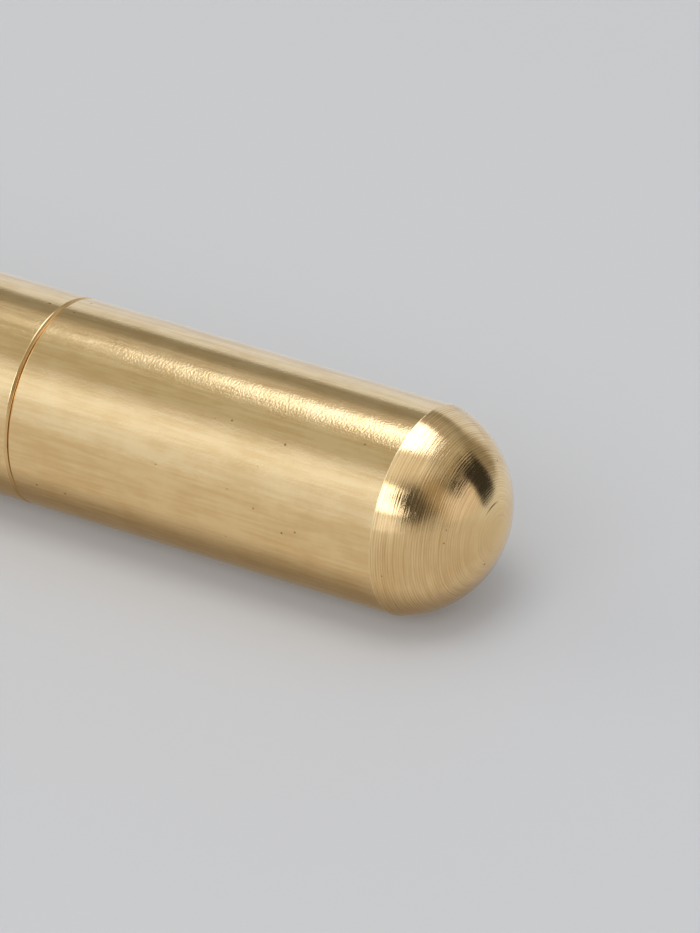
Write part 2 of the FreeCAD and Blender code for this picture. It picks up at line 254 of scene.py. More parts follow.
def specked(tree, spot, skin):
    """The skin's colour with specks of old grime in the pits of the bar, none larger than
    speck_size and most of them far smaller."""
    pits = add(tree, "TexVoronoi", {"Vector": spot, "Scale": 1 / (speck_spacing * MM)})
    chance = add(tree, "SeparateColor", {0: pits.outputs["Color"]})
    reach = add(tree, "MapRange", {
        "Value": chance.outputs[0], "From Min": 0.3, "From Max": 1.0,
        "To Min": 0.0, "To Max": speck_size / speck_spacing / 2})
    depth = add(tree, "Math", {0: reach.outputs[0], 1: pits.outputs["Distance"]},
                operation="SUBTRACT")
    cover = add(tree, "MapRange", {
        "Value": depth.outputs[0], "From Min": 0.0, "From Max": 0.04,
        "To Min": 0.0, "To Max": 0.8})
    both = add(tree, "Mix", {"Factor": cover.outputs[0], "A": skin, "B": speck_colour},
               data_type="RGBA")
    return both.outputs["Result"]


drawn_brass, tree, spot = material("brass_drawn_bar")
peel = add(tree, "TexNoise", {"Vector": spot, "Scale": 1 / (peel_size * MM), "Detail": 2.0})
swell = add(tree, "TexNoise", {"Vector": spot, "Scale": 1 / (swell_size * MM), "Detail": 1.0})
along_bar = add(tree, "Mapping", {
    "Vector": spot,
    "Scale": (1 / (line_length * MM), 1 / (line_width * MM), 1 / (line_width * MM))})
lines = add(tree, "TexNoise", {"Vector": along_bar.outputs[0], "Scale": 1.0, "Detail": 2.0})
tarnish = add(tree, "TexNoise", {"Vector": spot, "Scale": 1 / (tarnish_size * MM),
                                 "Detail": 6.0, "Roughness": 0.62})
wiped = add(tree, "Mapping", {
    "Vector": spot,
    "Scale": (1 / (streak_length * MM), 1 / (streak_width * MM), 1 / (streak_width * MM))})
streaks = add(tree, "TexNoise", {"Vector": wiped.outputs[0], "Scale": 1.0, "Detail": 3.0})
haze = add(tree, "Math", {0: tarnish.outputs["Fac"], 1: streaks.outputs["Fac"]},
           operation="ADD")
tint = add(tree, "MapRange", {
    "Value": haze.outputs[0], "From Min": 0.85, "From Max": 1.2, "To Min": 0.0, "To Max": 0.75})
skin = add(tree, "Mix", {"Factor": tint.outputs[0], "A": brass_colour, "B": tarnish_colour},
           data_type="RGBA")
shine = add(tree, "MapRange", {
    "Value": lines.outputs["Fac"], "From Min": 0.3, "From Max": 0.7,
    "To Min": drawn_roughness - 0.03, "To Max": drawn_roughness + 0.04})
swelled = add(tree, "Bump", {"Height": swell.outputs["Fac"], "Distance": swell_depth * MM})
lined = add(tree, "Bump", {"Height": lines.outputs["Fac"], "Distance": line_depth * MM,
                           "Normal": swelled.outputs[0]})
peeled = add(tree, "Bump", {"Height": peel.outputs["Fac"], "Distance": peel_depth * MM,
                            "Normal": lined.outputs[0]})
metal = add(tree, "BsdfPrincipled", {
    "Base Color": specked(tree, spot, skin.outputs["Result"]), "Metallic": 1.0,
    "Roughness": shine.outputs[0], "Normal": peeled.outputs[0]})
add(tree, "OutputMaterial", {"Surface": metal.outputs[0]})


grain_size = 0.09
grain_depth = 0.0008
stain_size = 2.2
drift_length = 5           # the circles change over a sixth of a turn or so
steady_share = 0.13        # the even part of the tool's circles; the rest is chatter


def turned_brass(name, feed, depth, roughness, facing=1, ball=None):
    """Brass as it leaves the lathe: bright, with the tool's uneven circles a feed apart. They run
    along the side and over a shoulder that faces +X or, with facing -1, -X. A ball is the X of
    its centre, its radius and its facing, and its circles die away towards the pole."""
    made, tree, spot = material(name)
    centre = add(tree, "VectorMath", {0: spot, 1: ((ball[0] if ball else 0) * MM, 0, 0)},
                 operation="SUBTRACT").outputs[0]
    apart = add(tree, "SeparateXYZ", {0: centre})
    if ball:
        length = add(tree, "VectorMath", {0: centre}, operation="LENGTH")
        cosine = add(tree, "Math", {0: apart.outputs["X"], 1: length.outputs["Value"]},
                     operation="DIVIDE")
        outward = add(tree, "Math", {0: cosine.outputs[0], 1: ball[2]}, operation="MULTIPLY")
        angle = add(tree, "Math", {0: outward.outputs[0]}, operation="ARCCOSINE")
        travel = add(tree, "Math", {0: angle.outputs[0], 1: ball[1] / feed},
                     operation="MULTIPLY").outputs[0]
        force = add(tree, "MapRange", {
            "Value": angle.outputs[0], "From Min": 0.1, "From Max": 0.7,
            "To Min": 0.25, "To Max": 1.0}).outputs[0]
    else:
        across = add(tree, "CombineXYZ", {1: apart.outputs["Y"], 2: apart.outputs["Z"]})
        radius = add(tree, "VectorMath", {0: across.outputs[0]}, operation="LENGTH")
        shoulder = add(tree, "Math", {0: radius.outputs["Value"], 1: -facing,
                                      2: apart.outputs["X"]}, operation="MULTIPLY_ADD")
        travel = add(tree, "Math", {0: shoulder.outputs[0], 1: 1 / (feed * MM)},
                     operation="MULTIPLY").outputs[0]
        force = 1.0
    drift = 1 / (drift_length * MM)
    round_y = add(tree, "Math", {0: apart.outputs["Y"], 1: drift}, operation="MULTIPLY")
    round_z = add(tree, "Math", {0: apart.outputs["Z"], 1: drift}, operation="MULTIPLY")
    groove = add(tree, "CombineXYZ", {0: travel, 1: round_y.outputs[0], 2: round_z.outputs[0]})
    turns = add(tree, "TexWave", {"Vector": groove.outputs[0], "Scale": 0.314, "Distortion": 2.5,
                                  "Detail": 2.0, "Detail Scale": 0.9})
    chatter = add(tree, "TexNoise", {"Vector": groove.outputs[0], "Scale": 1.5, "Detail": 4.0,
                                     "Roughness": 0.65})
    share = add(tree, "Math", {0: chatter.outputs["Fac"], 1: 1 - steady_share},
                operation="MULTIPLY")
    marks = add(tree, "Math", {0: turns.outputs["Fac"], 1: steady_share, 2: share.outputs[0]},
                operation="MULTIPLY_ADD")
    grain = add(tree, "TexNoise", {"Vector": spot, "Scale": 1 / (grain_size * MM), "Detail": 2.0})
    stain = add(tree, "TexNoise", {"Vector": spot, "Scale": 1 / (stain_size * MM), "Detail": 5.0})
    tint = add(tree, "MapRange", {
        "Value": stain.outputs["Fac"], "From Min": 0.4, "From Max": 0.7,
        "To Min": 0.0, "To Max": 0.6})
    clean = add(tree, "Mix", {"Factor": tint.outputs[0], "A": brass_colour,
                              "B": tarnish_colour}, data_type="RGBA")
    # The grooves of the circles are drawn darker and browner in the colour, less so towards a
    # ball's pole.
    darker_in_grooves = add(tree, "MapRange", {
        "Value": marks.outputs[0], "From Min": 0.25, "From Max": 0.6,
        "To Min": 0.7, "To Max": 0.0})
    grooves_darkened = add(tree, "Math", {0: darker_in_grooves.outputs[0], 1: force}, operation="MULTIPLY")
    skin = add(tree, "Mix", {"Factor": grooves_darkened.outputs[0], "A": clean.outputs["Result"],
                             "B": groove_colour}, data_type="RGBA")
    shine = add(tree, "MapRange", {
        "Value": marks.outputs[0], "From Min": 0.3, "From Max": 0.7,
        "To Min": roughness - 0.04, "To Max": roughness + 0.05})
    grained = add(tree, "Bump", {"Height": grain.outputs["Fac"], "Distance": grain_depth * MM})
    grooved = add(tree, "Bump", {"Height": marks.outputs[0], "Strength": force,
                                 "Distance": depth * MM, "Normal": grained.outputs[0]})
    metal = add(tree, "BsdfPrincipled", {
        "Base Color": specked(tree, spot, skin.outputs["Result"]), "Metallic": 1.0,
        "Roughness": shine.outputs[0], "Normal": grooved.outputs[0]})
    add(tree, "OutputMaterial", {"Surface": metal.outputs[0]})
    return made, tree, metal


dome_brass, tree, metal = turned_brass("brass_faced_ball", 0.14, 0.0125, 0.12,
                                       ball=(dome_centre, dome_radius, 1))
bore_brass = turned_brass("brass_turned_edges", 0.12, 0.006, 0.2)[0]

# One deep mark on the ball, where the tool dug in near the end of its cut. It follows the circles
# for about a millimetre and is drawn as a dark line in the ball's colour.
mark_from_pole = math.radians(16.2)
mark_half_width = 0.07 / dome_radius
mark_turn = math.radians(10)        # round the axis, from the top towards -Y
mark_half_turn = math.radians(26)
mark_colour = linear("5E4A28")

spot = add(tree, "TexCoord").outputs["Object"]
centre = add(tree, "VectorMath", {0: spot, 1: (dome_centre * MM, 0, 0)}, operation="SUBTRACT")
apart = add(tree, "SeparateXYZ", {0: centre.outputs[0]})
length = add(tree, "VectorMath", {0: centre.outputs[0]}, operation="LENGTH")
cosine = add(tree, "Math", {0: apart.outputs["X"], 1: length.outputs["Value"]},
             operation="DIVIDE")
angle = add(tree, "Math", {0: cosine.outputs[0]}, operation="ARCCOSINE")
off_line = add(tree, "Math", {0: angle.outputs[0], 1: mark_from_pole}, operation="SUBTRACT")
off_by = add(tree, "Math", {0: off_line.outputs[0]}, operation="ABSOLUTE")
beside = add(tree, "MapRange", {
    "Value": off_by.outputs[0], "From Min": mark_half_width, "From Max": mark_half_width / 4,
    "To Min": 0.0, "To Max": 1.0})
towards = add(tree, "Math", {0: apart.outputs["Y"], 1: -1.0}, operation="MULTIPLY")
turn_of = add(tree, "Math", {0: towards.outputs[0], 1: apart.outputs["Z"]},
              operation="ARCTAN2")
from_middle = add(tree, "Math", {0: turn_of.outputs[0], 1: mark_turn}, operation="SUBTRACT")
either_way = add(tree, "Math", {0: from_middle.outputs[0]}, operation="ABSOLUTE")
length_share = add(tree, "MapRange", {
    "Value": either_way.outputs[0], "From Min": mark_half_turn, "From Max": mark_half_turn / 5,
    "To Min": 0.0, "To Max": 0.85})
cut = add(tree, "Math", {0: beside.outputs[0], 1: length_share.outputs[0]},
          operation="MULTIPLY")
marked = add(tree, "Mix", {"Factor": cut.outputs[0],
                           "A": metal.inputs["Base Color"].links[0].from_socket,
                           "B": mark_colour}, data_type="RGBA")
tree.links.new(marked.outputs["Result"], metal.inputs["Base Color"])

# The edge where the ball starts is worn by handling: a pale hairline, smoother than it is sharp.
edge_brass, tree, spot = material("brass_worn_edge")
worn = add(tree, "TexNoise", {"Vector": spot, "Scale": 1 / (0.4 * MM), "Detail": 3.0})
glint = add(tree, "MapRange", {
    "Value": worn.outputs["Fac"], "From Min": 0.3, "From Max": 0.7,
    "To Min": 0.26, "To Max": 0.42})
metal = add(tree, "BsdfPrincipled", {"Base Color": linear("F3D6A2"), "Metallic": 1.0,
                                     "Roughness": glint.outputs[0]})
add(tree, "OutputMaterial", {"Surface": metal.outputs[0]})

half_dome = (cap_edge + pole) / 2


def cap_finish(x, r):
    """Which of the cap's finishes a ring has: drawn side, ball, bore and mouth, or worn edge."""
    if abs(x - cap_edge) < edge_ease and r > liner_seat:
        return 3
    if math.hypot(x - dome_centre, r) > dome_radius - 0.05 and x > cap_edge:
        return 1
    return 0 if r > body_radius - skin_tolerance else 2


cap_mesh = turned("domed_cap", [
    (0, body_radius - seam_chamfer),
    (seam_chamfer, body_radius),
    (cap_edge, body_radius),
    (pole, 0, half_dome, math.sqrt(dome_radius ** 2 - (half_dome - dome_centre) ** 2)),
    (drill_point, 0),
    (cap_bore_end, cap_bore),
    (liner_end, cap_bore),
    (liner_end, liner_seat),
    (edge_break, liner_seat),
    (0, liner_seat + edge_break),
], cap_finish)
place("domed_cap", cap_mesh, [drawn_brass, dome_brass, bore_brass, edge_brass], "cap",
      "drawn_brass", "cap_shell")


# ---- Cap liner -------------------------------------------------------------------------------
# A moulded acetal sleeve, glued in the cap's mouth, where it rides on the rubber ring.


def moulded(name, colour, dusty, dust, roughness, grain, relief, metallic=0.0):
    """A pressed or moulded piece of one colour, which dust and handling vary by the share dust,
    with a fine grain of the given size and relief in mm."""
    made, tree, spot = material(name)
    film = add(tree, "TexNoise", {"Vector": spot, "Scale": 1 / (1.3 * MM), "Detail": 6.0,
                                  "Roughness": 0.65})
    pores = add(tree, "TexNoise", {"Vector": spot, "Scale": 1 / (grain * MM), "Detail": 3.0})
    amount = add(tree, "MapRange", {
        "Value": film.outputs["Fac"], "From Min": 0.4, "From Max": 0.75,
        "To Min": 0.0, "To Max": dust})
    skin = add(tree, "Mix", {"Factor": amount.outputs[0], "A": linear(colour),
                             "B": linear(dusty)}, data_type="RGBA")
    dullness = add(tree, "MapRange", {
        "Value": film.outputs["Fac"], "From Min": 0.3, "From Max": 0.7,
        "To Min": roughness - 0.06, "To Max": roughness + 0.08})
    pored = add(tree, "Bump", {"Height": pores.outputs["Fac"], "Distance": relief * MM})
    body = add(tree, "BsdfPrincipled", {
        "Base Color": skin.outputs["Result"], "Metallic": metallic,
        "Roughness": dullness.outputs[0], "Normal": pored.outputs[0]})
    add(tree, "OutputMaterial", {"Surface": body.outputs[0]})
    return made


acetal = moulded("acetal_natural_white", "EDE9DE", "D8D2C2", 0.5, 0.42, 0.06, 0.002)
dress("cap_liner", acetal)


# ---- Barrel ----------------------------------------------------------------------------------
# The same drawn bar, bored right through and threaded at both ends. Its front edge has the same
# small chamfer as the cap's mouth, so that the closed seam is a fine V-groove.

barrel_low, barrel_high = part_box("barrel_tube")
barrel_rear = barrel_low.x / MM
barrel_front = barrel_high.x / MM
barrel_bore = 4.5
thread_pitch = 0.75
thread_depth = 0.2
section_neck = 3.69
section_tail = -13.03
neck_end = -14.53
bush_spigot = 8.0          # length of the bush's thread in the barrel

barrel_mesh = turned("drawn_barrel", [
    (barrel_rear, body_radius - seam_chamfer),
    (barrel_rear + seam_chamfer, body_radius),
    (barrel_front - seam_chamfer, body_radius),
    (barrel_front, body_radius - seam_chamfer),
    (barrel_front, section_neck),
    *grooves(barrel_front - 2 * thread_pitch, section_tail, section_neck, thread_pitch,
             -thread_depth),
    (neck_end, section_neck),
    (neck_end - (barrel_bore - section_neck), barrel_bore),
    *grooves(barrel_rear + bush_spigot, barrel_rear + thread_pitch, barrel_bore, thread_pitch,
             -thread_depth),
    (barrel_rear, barrel_bore),
], lambda x, r: 0 if r > body_radius - skin_tolerance else 1, plain_below=5)
place("drawn_barrel", barrel_mesh, [drawn_brass, bore_brass], "barrel", "drawn_brass",
      "barrel_tube")


# ---- Rear bush -------------------------------------------------------------------------------
# A turned brass bush, screwed into the barrel's rear, with a rounded flange. It guides the button.

bush_flange = 1.6
bush_round = 1.2
bush_bore = 3.57
bush_radius = 4.48
bond_gap = 0.02
bush_rear = barrel_rear - bush_flange
bush_joint = barrel_rear - bond_gap
bush_front = barrel_rear + bush_spigot
bush_knee = bush_round * (1 - math.cos(math.pi / 4))

bush_brass = turned_brass("brass_turned_bush", 0.13, 0.005, 0.13, facing=-1)[0]
bush_mesh = turned("turned_bush", [
    (bush_rear, bush_bore + edge_break),
    (bush_rear, body_radius - bush_round),
    (bush_rear + bush_round, body_radius, bush_rear + bush_knee, body_radius - bush_knee),
    (bush_joint - seam_chamfer, body_radius),
    (bush_joint, body_radius - seam_chamfer),
    (bush_joint, bush_radius - thread_depth),
    (bush_joint + thread_pitch / 2, bush_radius),
    *grooves(bush_joint + thread_pitch, bush_front - thread_depth, bush_radius, thread_pitch,
             thread_depth),
    (bush_front - thread_depth, bush_radius),
    (bush_front, bush_radius - thread_depth),
    (bush_front, bush_bore),
    (bush_rear + edge_break, bush_bore),
])
place("turned_bush", bush_mesh, [bush_brass], "barrel", "turned_brass", "rear_bush")


# ---- Push button -----------------------------------------------------------------------------
# A thimble turned from brass rod, with the same ball end as the cap. It covers the eraser, and
# pulls off.

button_low, button_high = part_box("push_button")
button_rear = button_low.x / MM
button_front = button_high.x / MM
button_radius = 3.27
button_bore = 2.67
button_crown = 1.2
button_corner = button_bore / 3
ball_edge_angle = math.acos(body_radius / dome_radius)
button_ball = button_radius / math.cos(ball_edge_angle)
button_centre = button_rear + button_ball
button_edge = button_centre - button_radius * math.tan(ball_edge_angle)
button_end = button_rear + button_crown
half_ball = (button_rear + button_edge) / 2

button_side = turned_brass("brass_turned_button_side", 0.12, 0.004, 0.13, facing=-1)[0]
button_cap = turned_brass("brass_turned_button_end", 0.12, 0.007, 0.12,
                          ball=(button_centre, button_ball, -1))[0]
button_mesh = turned("domed_button", [
    (button_front, button_bore),
    (button_end + button_corner, button_bore),
    (button_end, button_bore - button_corner),
    (button_end, 0),
    (button_rear, 0),
    (button_edge, button_radius, half_ball,
     math.sqrt(button_ball ** 2 - (half_ball - button_centre) ** 2)),
    (button_front - edge_break, button_radius),
    (button_front, button_radius - edge_break),
], lambda x, r: 1 if x < button_edge and math.hypot(x - button_centre, r) > button_ball - 0.02
    else 0, step=0.08)
place("domed_button", button_mesh, [button_side, button_cap], "button", "turned_brass",
      "push_button")


# ---- Front section ---------------------------------------------------------------------------
# Turned brass, screwed into the barrel. It carries the clutch, guides the cap and has six fine
# grip rings, and a groove for the rubber ring.

spigot_radius = 3.67
section_radius = 4.3
lock_cord = 0.7
relief_radius = spigot_radius - lock_cord
relief_end = barrel_front - 2 * lock_cord
ring_cord = 1.0
ring_middle = 1.57
ring_radius = 3.85
groove_half = 0.6
groove_floor = 3.33
grip_start = 3.17
grip_pitch = 0.6
grip_depth = 0.15
nose_joint = 7.674
nose_thread_radius = 3.03
section_front = 11.174
section_bore = 2.55
housing_seat = -5.676
section_rear_bore = 2.25

section_brass = turned_brass("brass_turned_section", 0.10, 0.004, 0.13)[0]
section_mesh = turned("ringed_section", [
    (section_tail, spigot_radius - thread_depth),
    (section_tail + thread_depth, spigot_radius),
    *grooves(section_tail + thread_pitch, relief_end, spigot_radius, thread_pitch,
             thread_depth),
    (relief_end, spigot_radius),
    (relief_end, relief_radius),
    (barrel_front, relief_radius),
    (barrel_front, section_radius),
    (ring_middle - groove_half, section_radius),
    (ring_middle - groove_half, groove_floor),
    (ring_middle + groove_half, groove_floor),
    (ring_middle + groove_half, section_radius),
    *grooves(grip_start, nose_joint - grip_pitch, section_radius, grip_pitch, grip_depth),
    (nose_joint - edge_break, section_radius),
    (nose_joint, section_radius - edge_break),
    (nose_joint, nose_thread_radius),
    *grooves(nose_joint + thread_pitch / 2, section_front - thread_depth, nose_thread_radius,
             thread_pitch, thread_depth),
    (section_front, nose_thread_radius),
    (section_front, section_bore),
    (housing_seat, section_bore),
    (housing_seat, section_rear_bore),
    (section_tail, section_rear_bore),
], plain_below=4)
place("ringed_section", section_mesh, [section_brass], "barrel", "turned_brass",
      "front_section")


# ---- Rubber rings ----------------------------------------------------------------------------
# Nitrile rubber. The thick ring in the section's groove holds the cap; a thin one behind its
# shoulder keeps the thread from working loose. A soft bush in the nose holds the lead.

nitrile = moulded("rubber_nitrile_black", "1D1D1E", "55534E", 0.25, 0.48, 0.03, 0.002)
ring_mesh = turned("cap_ring", [
    (ring_middle - ring_cord / 2, ring_radius, ring_middle, ring_radius - ring_cord / 2),
    (ring_middle + ring_cord / 2, ring_radius, ring_middle, ring_radius + ring_cord / 2),
], sides=144, step=0.07)
place("cap_ring", ring_mesh, [nitrile], "barrel", "black_rubber", "cap_oring")
dress("section_lock_ring", nitrile)

soft_grip = moulded("rubber_soft_grey", "55524E", "77736C", 0.4, 0.62, 0.05, 0.004)
dress("lead_retainer", soft_grip)


# ---- Nose cone -------------------------------------------------------------------------------
# The turned brass tip, screwed on the section: a short band, then a slightly swelled taper down to
# a flat ring round the lead sleeve.

nose_base = 7.694
nose_band_end = 9.194
nose_tip = 19.494
nose_tip_radius = 0.82
taper_middle = (14.344, 2.81)
sleeve_hole = 0.54
retainer_front = 16.564
retainer_seat = 1.42
nose_cavity = (11.194, 14.544, 1.95)    # from, to, radius
nose_thread = nose_thread_radius + bond_gap

nose_brass = turned_brass("brass_turned_nose", 0.09, 0.0035, 0.12)[0]
nose_mesh = turned("tapered_nose", [
    (nose_base, section_radius - edge_break),
    (nose_base + edge_break, section_radius),
    (nose_band_end, section_radius),
    (nose_tip, nose_tip_radius, *taper_middle),
    (nose_tip, sleeve_hole),
    (retainer_front, sleeve_hole),
    (retainer_front, retainer_seat),
    (nose_cavity[1], retainer_seat),
    (nose_cavity[1], nose_cavity[2]),
    (nose_cavity[0], nose_cavity[2]),
    (nose_cavity[0], nose_thread),
    *grooves(nose_cavity[0] - thread_pitch / 2, nose_base + thread_pitch / 2, nose_thread,
             thread_pitch, -thread_depth),
    (nose_base, nose_thread),
])
place("tapered_nose", nose_mesh, [nose_brass], "barrel", "turned_brass", "nose_cone")


# ---- Steel pieces ----------------------------------------------------------------------------
# The lead sleeve and the clearing pin are drawn stainless steel. The spring is coiled from steel
# wire that keeps a thin brown film of oil.


def drawn_steel(name, colour, film_colour, film, roughness):
    """Drawn steel tube or wire: fine lines along it, broken by a film in patches."""
    made, tree, spot = material(name)
    along = add(tree, "Mapping", {
        "Vector": spot, "Scale": (1 / (2.0 * MM), 1 / (0.03 * MM), 1 / (0.03 * MM))})
    lines = add(tree, "TexNoise", {"Vector": along.outputs[0], "Scale": 1.0, "Detail": 2.0})
    patches = add(tree, "TexNoise", {"Vector": spot, "Scale": 1 / (0.6 * MM), "Detail": 4.0})
    amount = add(tree, "MapRange", {
        "Value": patches.outputs["Fac"], "From Min": 0.4, "From Max": 0.7,
        "To Min": 0.0, "To Max": film})
    skin = add(tree, "Mix", {"Factor": amount.outputs[0], "A": linear(colour),
                             "B": linear(film_colour)}, data_type="RGBA")
    shine = add(tree, "MapRange", {
        "Value": lines.outputs["Fac"], "From Min": 0.3, "From Max": 0.7,
        "To Min": roughness - 0.05, "To Max": roughness + 0.06})
    lined = add(tree, "Bump", {"Height": lines.outputs["Fac"], "Distance": 0.0006 * MM})
    metal = add(tree, "BsdfPrincipled", {
        "Base Color": skin.outputs["Result"], "Metallic": 1.0,
        "Roughness": shine.outputs[0], "Normal": lined.outputs[0]})
    add(tree, "OutputMaterial", {"Surface": metal.outputs[0]})
    return made


stainless = drawn_steel("steel_stainless_drawn", "CFCDC8", "B9B4AA", 0.4, 0.2)
dress("lead_sleeve", stainless)
dress("clearing_pin", stainless)

wire_radius = 0.175
coil_radius = 1.575
closed_turns = 1
active_turns = 7
closed_pitch = 0.4
wire_sides = 14
steps_per_turn = 56
spring_low, spring_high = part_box("return_spring")
coil_rear = spring_low.x / MM + wire_radius
coil_front = spring_high.x / MM - wire_radius
coil_turns = active_turns + 2 * closed_turns
active_pitch = (coil_front - coil_rear - 2 * closed_turns * closed_pitch) / active_turns


def coil_middle(turn):
    """The middle of the wire, after so many turns from the rear, with closed ends."""
    closed = min(turn, closed_turns) + max(0, turn - coil_turns + closed_turns)
    x = coil_rear + closed * closed_pitch + (turn - closed) * active_pitch
    angle = 2 * math.pi * turn
    return Vector((x, coil_radius * math.cos(angle), coil_radius * math.sin(angle)))


coil_points, coil_faces = [], []
coil_steps = coil_turns * steps_per_turn
for i in range(coil_steps + 1):
    turn = i / steps_per_turn
    middle = coil_middle(turn)
    heading = (coil_middle(min(coil_turns, turn + 0.01))
               - coil_middle(max(0, turn - 0.01))).normalized()
    outward = Vector((0, middle.y, middle.z)).normalized()
    sideways = heading.cross(outward)
    for j in range(wire_sides):
        angle = 2 * math.pi * j / wire_sides
        rim = outward * math.cos(angle) + sideways * math.sin(angle)
        coil_points.append((middle + rim * wire_radius) * MM)
for i in range(coil_steps):
    here, there = i * wire_sides, (i + 1) * wire_sides
    for j in range(wire_sides):
        k = (j + 1) % wire_sides
        coil_faces.append((here + j, there + j, there + k, here + k))
coil_faces.append(tuple(range(wire_sides)))
coil_faces.append(tuple(coil_steps * wire_sides + j for j in reversed(range(wire_sides))))
coil_mesh = bpy.data.meshes.new("wire_coil")
coil_mesh.from_pydata(coil_points, [], coil_faces)
coil_mesh.shade_smooth()
spring_wire = drawn_steel("steel_spring_wire", "A9A49B", "7C6B52", 0.7, 0.3)
coil = place("wire_coil", coil_mesh, [spring_wire], "barrel", "spring_steel", "return_spring")
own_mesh(coil)


# ---- Clutch and lead tube --------------------------------------------------------------------
# Plain machined brass: the jaws, the ring that closes them, their housing, the carrier, the tube
# for the leads and the eraser's cup.

clutch_brass = turned_brass("brass_machined_clutch", 0.08, 0.003, 0.17)[0]
for node in ("clutch_housing", "clutch_ring", "clutch_jaws", "collet_carrier", "lead_tube",
             "eraser_holder"):
    dress(node, clutch_brass)


# ---- Leads -----------------------------------------------------------------------------------
# Fired graphite with a soft grey sheen, one in the clutch and five in the tube.

graphite = moulded("graphite_fired", "34343A", "5C5C62", 0.6, 0.4, 0.02, 0.0015, metallic=0.5)
dress("writing_lead", graphite)
dress("spare_leads", graphite)


# ---- Eraser ----------------------------------------------------------------------------------
# A white rubber rod, chalky, with the grey of a little graphite. Its rubbing end is rounded.

eraser_low, eraser_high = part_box("eraser")
eraser_rear = eraser_low.x / MM
eraser_front = eraser_high.x / MM
eraser_radius = 2.3
eraser_corner = eraser_radius / 4
eraser_knee = eraser_corner * (1 - math.cos(math.pi / 4))

chalky = moulded("rubber_eraser_white", "ECEAE4", "B9B8B6", 0.35, 0.75, 0.05, 0.006)
eraser_mesh = turned("rounded_eraser", [
    (eraser_front, 0),
    (eraser_rear, 0),
    (eraser_rear, eraser_radius - eraser_corner),
    (eraser_rear + eraser_corner, eraser_radius, eraser_rear + eraser_knee,
     eraser_radius - eraser_knee),
    (eraser_front, eraser_radius),
], sides=144, step=0.08)
place("rounded_eraser", eraser_mesh, [chalky], "pusher", "white_eraser", "eraser")


# ---- Studio ----------------------------------------------------------------------------------
# A pale grey paper floor under plain soft light: softboxes, a panel overhead and an even sky. The
# grey and dark cards only show in the metal, and shape what it reflects. Two of them lie just
# over the floor: a dark card that is painted shade under the pencil, and a pale card that is a
# painted sheen of the floor behind it.

floor_size = 6.0
floor_colour = linear("B9B8B6")
floor_glow = 0.095         # the floor glows evenly by this much: painted light that lifts its shadows
sky_light = 0.5
panel_power = 2.5

floor_mesh = bpy.data.meshes.new("paper_floor")
half = floor_size / 2
floor_mesh.from_pydata([(-half, -half, 0), (half, -half, 0), (half, half, 0), (-half, half, 0)],
                       [], [(0, 1, 2, 3)])
floor = bpy.data.objects.new("paper_floor", floor_mesh)
floor.location.z = cad_low.z
bpy.context.scene.collection.objects.link(floor)
paper, tree, spot = material("paper_matt")
# The paper's emission is painted light: a faint, slightly cool glow over the whole floor that
# lifts the object's shadow.
sheet = add(tree, "BsdfPrincipled", {
    "Base Color": floor_colour, "Roughness": 0.65, "Specular IOR Level": 0.4,
    "Emission Color": (0.97, 1, 1.04, 1), "Emission Strength": floor_glow})
add(tree, "OutputMaterial", {"Surface": sheet.outputs[0]})
floor_mesh.materials.append(paper)

world = bpy.data.worlds.new("studio_sky")
world.use_nodes = True
world.node_tree.nodes["Background"].inputs["Color"].default_value = (1, 1, 1, 1)
world.node_tree.nodes["Background"].inputs["Strength"].default_value = sky_light
bpy.context.scene.world = world

panel = bpy.data.objects.new("panel_overhead", bpy.data.lights.new("panel_overhead", "AREA"))
panel.data.size = 0.5
panel.data.energy = panel_power
panel.location = (0.0, -0.2, 0.9)
panel.visible_glossy = False
bpy.context.scene.collection.objects.link(panel)

studio_middle = Vector((dome_centre, 0, 0)) * MM


